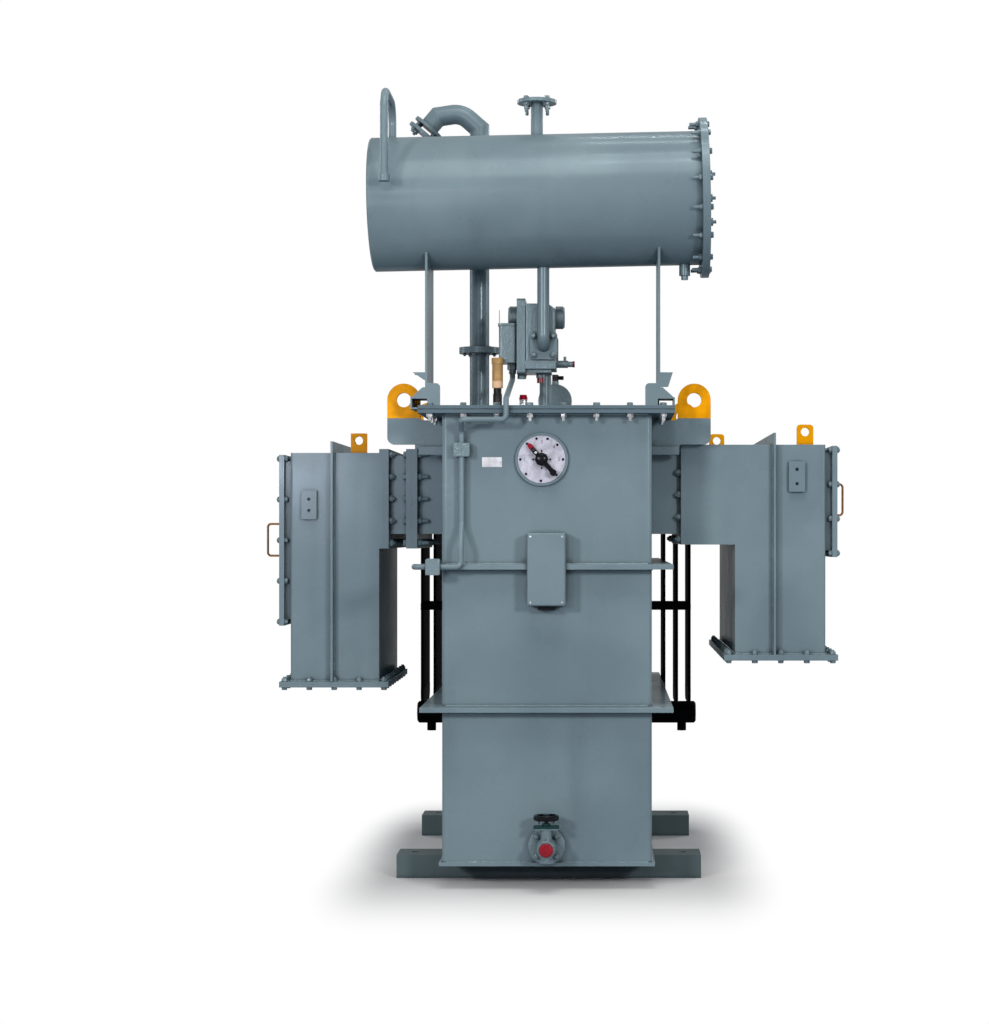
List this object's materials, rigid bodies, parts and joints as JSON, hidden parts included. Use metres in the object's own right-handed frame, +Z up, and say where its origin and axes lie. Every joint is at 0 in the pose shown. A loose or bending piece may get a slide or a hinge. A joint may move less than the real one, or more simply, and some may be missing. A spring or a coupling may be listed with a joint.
{
  "type": "power transformer",
  "caption": "Oil-filled power transformer on rails, with a drum conservator, side cable boxes, radiators, a gas relay and valves.",
  "frame": {"origin": "on the floor, in the middle of the whole outline", "axes": "+X to the right and +Y away from the viewer who faces the tap switch, +Z up"},
  "size_m": [2.128, 1.973, 2.7326],
  "materials": {
    "black_paint": "satin",
    "black_plastic": "matte",
    "brass_fitting": "satin",
    "bronze_wire": "satin",
    "cast_body": "satin",
    "dial_metal": "satin",
    "gasket": "matte",
    "rail_paint": "satin",
    "red_paint": "gloss",
    "tank_paint": "satin",
    "yellow_paint": "gloss"
  },
  "bodies": {
    "tank": {"base_rails": "rail_paint", "breather_pipe": "tank_paint", "bulb_fitting": "brass_fitting", "cable_box_lugs": "yellow_paint", "cable_box_stiffeners": "tank_paint", "conduit_boxes": "tank_paint", "conduit_pipes": "tank_paint", "conservator_end_cover": "tank_paint", "conservator_left_end": "tank_paint", "conservator_shell": "tank_paint", "conservator_supports": "tank_paint", "cover_gasket": "gasket", "cover_handles": "bronze_wire", "drain_neck": "tank_paint", "drain_plug": "red_paint", "drain_valve_body": "cast_body", "filling_pipe": "tank_paint", "filling_pipe_blank": "tank_paint", "filter_valve_body": "cast_body", "front_terminal_box": "tank_paint", "gas_relay_body": "cast_body", "gas_relay_plug": "red_paint", "gland_plates": "tank_paint", "hv_cable_box": "tank_paint", "hv_disconnecting_chamber": "tank_paint", "hv_turret": "tank_paint", "inspection_covers": "tank_paint", "lifting_lugs_left": "tank_paint", "lifting_lugs_right": "tank_paint", "lv_cable_box": "tank_paint", "lv_turret": "tank_paint", "oil_level_gauge": "tank_paint", "radiator_fins_left": "black_paint", "radiator_fins_right": "black_paint", "radiator_headers": "black_paint", "radiator_ties": "black_paint", "relay_pipes": "tank_paint", "relay_terminal_box": "cast_body", "tank_cover": "tank_paint", "tank_floor": "tank_paint", "tank_rim_flange": "tank_paint", "tank_shell": "tank_paint", "tank_stiffeners": "tank_paint", "tap_switch_dial": "dial_metal", "tap_switch_rim": "tank_paint", "thermometer_pocket": "tank_paint", "vent_gooseneck": "tank_paint", "vent_lower_pipe": "tank_paint", "vent_mouth_cover": "tank_paint"},
    "tap_handle": {"tap_switch_handle": "black_plastic"},
    "drain_wheel": {"drain_handwheel": "black_paint"},
    "filter_lever": {"filter_valve_lever": "black_paint"}
  },
  "joints": [
    {"name": "tap_handle_turn", "type": "hinge", "parent": "tank", "child": "tap_handle", "pos_m": [-0.017, -0.838, 1.4345], "axis": [0, 1, 0], "range_deg": [-60, 60]},
    {"name": "drain_wheel_turn", "type": "hinge", "parent": "tank", "child": "drain_wheel", "pos_m": [0, -0.926, 0.252], "axis": [0, 0, 1], "range_deg": [0, 1440]},
    {"name": "filter_lever_turn", "type": "hinge", "parent": "tank", "child": "filter_lever", "pos_m": [0.01, 0.012, 1.752], "axis": [0, 0, 1], "range_deg": [-90, 0]}
  ]
}
